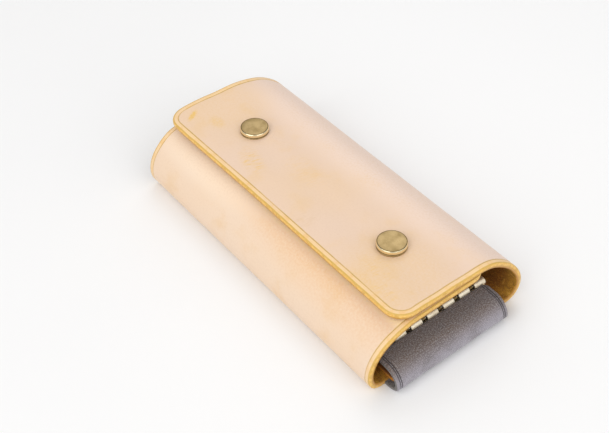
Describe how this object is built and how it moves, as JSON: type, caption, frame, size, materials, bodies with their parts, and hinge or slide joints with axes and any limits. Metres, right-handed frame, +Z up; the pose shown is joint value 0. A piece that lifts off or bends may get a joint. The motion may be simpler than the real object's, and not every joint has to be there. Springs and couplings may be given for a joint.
{
  "type": "leather key case",
  "caption": "Long leather wrap case with a snap-closed flap over a folding front panel, open ends, and a suede-covered tongue carrying a slotted rail of swivelling spring hooks.",
  "frame": {"origin": "middle of the case's underside, on the surface that it lies on", "axes": "+X along the case towards the end with the key rail, +Y towards the tall spine fold, +Z up"},
  "size_m": [0.1279, 0.0624, 0.0267],
  "materials": {
    "tan_leather": "natural vegetable-tanned leather with mustard dyed edges",
    "grey_suede": "dark grey suede",
    "brown_leather": "orange-brown leather, flesh side",
    "antique_brass": "brushed antique brass",
    "pale_brass": "pale brass plate",
    "steel_wire": "drawn steel wire",
    "spring_steel": "spring steel strip"
  },
  "bodies": {
    "case_back": {"back_panel": "tan_leather", "suede_lower": "grey_suede", "lining_lower": "brown_leather", "tail_rivets": "antique_brass", "tail_burrs": "antique_brass"},
    "flap": {"flap": "tan_leather", "snap_cap_far": "antique_brass", "snap_cap_near": "antique_brass", "snap_socket_far": "antique_brass", "snap_socket_near": "antique_brass"},
    "front": {"front_panel": "tan_leather", "snap_stud_far": "antique_brass", "snap_stud_near": "antique_brass", "snap_back_far": "antique_brass", "snap_back_near": "antique_brass"},
    "tongue": {"suede_upper": "grey_suede", "lining_upper": "brown_leather", "key_rail": "pale_brass", "rail_wire": "steel_wire", "rail_rivets": "antique_brass", "rail_burrs": "antique_brass"},
    "base_1": {"hook_base_1": "antique_brass"},
    "hook_1": {"hook_1": "pale_brass"},
    "gate_1": {"hook_gate_1": "spring_steel"},
    "base_2": {"hook_base_2": "antique_brass"},
    "hook_2": {"hook_2": "pale_brass"},
    "gate_2": {"hook_gate_2": "spring_steel"},
    "base_3": {"hook_base_3": "antique_brass"},
    "hook_3": {"hook_3": "pale_brass"},
    "gate_3": {"hook_gate_3": "spring_steel"},
    "base_4": {"hook_base_4": "antique_brass"},
    "hook_4": {"hook_4": "pale_brass"},
    "gate_4": {"hook_gate_4": "spring_steel"},
    "base_5": {"hook_base_5": "antique_brass"},
    "hook_5": {"hook_5": "pale_brass"},
    "gate_5": {"hook_gate_5": "spring_steel"},
    "base_6": {"hook_base_6": "antique_brass"},
    "hook_6": {"hook_6": "pale_brass"},
    "gate_6": {"hook_gate_6": "spring_steel"}
  },
  "joints": [
    {"name": "flap_fold", "type": "hinge", "parent": "case_back", "child": "flap", "pos_m": [0, 0.03036, 0.0125], "axis": [-1, 0, 0], "range_deg": [0, 175]},
    {"name": "front_fold", "type": "hinge", "parent": "case_back", "child": "front", "pos_m": [0, -0.03054, 0.0102], "axis": [1, 0, 0], "range_deg": [0, 96.25]},
    {"name": "tongue_fold", "type": "hinge", "parent": "case_back", "child": "tongue", "pos_m": [0.0669, -0.0022, 0.003], "axis": [0, 1, 0], "range_deg": [0, 52.5]},
    {"name": "hook_1_swing", "type": "hinge", "parent": "tongue", "child": "base_1", "pos_m": [0.0545, -0.0176, 0.0087], "axis": [0, 1, 0], "range_deg": [0, 18]},
    {"name": "hook_1_turn", "type": "hinge", "parent": "base_1", "child": "hook_1", "pos_m": [0.04756, -0.0176, 0.00779], "axis": [-0.9914, 0, -0.1305], "continuous": true},
    {"name": "gate_1_press", "type": "hinge", "parent": "hook_1", "child": "gate_1", "pos_m": [0.04558, -0.0164, 0.00752], "axis": [-0.1305, 0, 0.9914], "range_deg": [0, 16], "stiffness_Nm_per_rad": 0.002, "springref_deg": -8.59},
    {"name": "hook_2_swing", "type": "hinge", "parent": "tongue", "child": "base_2", "pos_m": [0.0545, -0.011, 0.0087], "axis": [0, 1, 0], "range_deg": [0, 18]},
    {"name": "hook_2_turn", "type": "hinge", "parent": "base_2", "child": "hook_2", "pos_m": [0.04756, -0.011, 0.00779], "axis": [-0.9914, 0, -0.1305], "continuous": true},
    {"name": "gate_2_press", "type": "hinge", "parent": "hook_2", "child": "gate_2", "pos_m": [0.04558, -0.0098, 0.00752], "axis": [-0.1305, 0, 0.9914], "range_deg": [0, 16], "stiffness_Nm_per_rad": 0.002, "springref_deg": -8.59},
    {"name": "hook_3_swing", "type": "hinge", "parent": "tongue", "child": "base_3", "pos_m": [0.0545, -0.0044, 0.0087], "axis": [0, 1, 0], "range_deg": [0, 18]},
    {"name": "hook_3_turn", "type": "hinge", "parent": "base_3", "child": "hook_3", "pos_m": [0.04756, -0.0044, 0.00779], "axis": [-0.9914, 0, -0.1305], "continuous": true},
    {"name": "gate_3_press", "type": "hinge", "parent": "hook_3", "child": "gate_3", "pos_m": [0.04558, -0.0032, 0.00752], "axis": [-0.1305, 0, 0.9914], "range_deg": [0, 16], "stiffness_Nm_per_rad": 0.002, "springref_deg": -8.59},
    {"name": "hook_4_swing", "type": "hinge", "parent": "tongue", "child": "base_4", "pos_m": [0.0545, 0.0022, 0.0087], "axis": [0, 1, 0], "range_deg": [0, 18]},
    {"name": "hook_4_turn", "type": "hinge", "parent": "base_4", "child": "hook_4", "pos_m": [0.04756, 0.0022, 0.00779], "axis": [-0.9914, 0, -0.1305], "continuous": true},
    {"name": "gate_4_press", "type": "hinge", "parent": "hook_4", "child": "gate_4", "pos_m": [0.04558, 0.0034, 0.00752], "axis": [-0.1305, 0, 0.9914], "range_deg": [0, 16], "stiffness_Nm_per_rad": 0.002, "springref_deg": -8.59},
    {"name": "hook_5_swing", "type": "hinge", "parent": "tongue", "child": "base_5", "pos_m": [0.0545, 0.0088, 0.0087], "axis": [0, 1, 0], "range_deg": [0, 18]},
    {"name": "hook_5_turn", "type": "hinge", "parent": "base_5", "child": "hook_5", "pos_m": [0.04756, 0.0088, 0.00779], "axis": [-0.9914, 0, -0.1305], "continuous": true},
    {"name": "gate_5_press", "type": "hinge", "parent": "hook_5", "child": "gate_5", "pos_m": [0.04558, 0.01, 0.00752], "axis": [-0.1305, 0, 0.9914], "range_deg": [0, 16], "stiffness_Nm_per_rad": 0.002, "springref_deg": -8.59},
    {"name": "hook_6_swing", "type": "hinge", "parent": "tongue", "child": "base_6", "pos_m": [0.0545, 0.0154, 0.0087], "axis": [0, 1, 0], "range_deg": [0, 18]},
    {"name": "hook_6_turn", "type": "hinge", "parent": "base_6", "child": "hook_6", "pos_m": [0.04756, 0.0154, 0.00779], "axis": [-0.9914, 0, -0.1305], "continuous": true},
    {"name": "gate_6_press", "type": "hinge", "parent": "hook_6", "child": "gate_6", "pos_m": [0.04558, 0.0166, 0.00752], "axis": [-0.1305, 0, 0.9914], "range_deg": [0, 16], "stiffness_Nm_per_rad": 0.002, "springref_deg": -8.59}
  ],
  "couplings": [
    {"joint": "front_fold", "follows": "flap_fold", "ratio": 0.55},
    {"joint": "tongue_fold", "follows": "flap_fold", "ratio": 0.3}
  ]
}
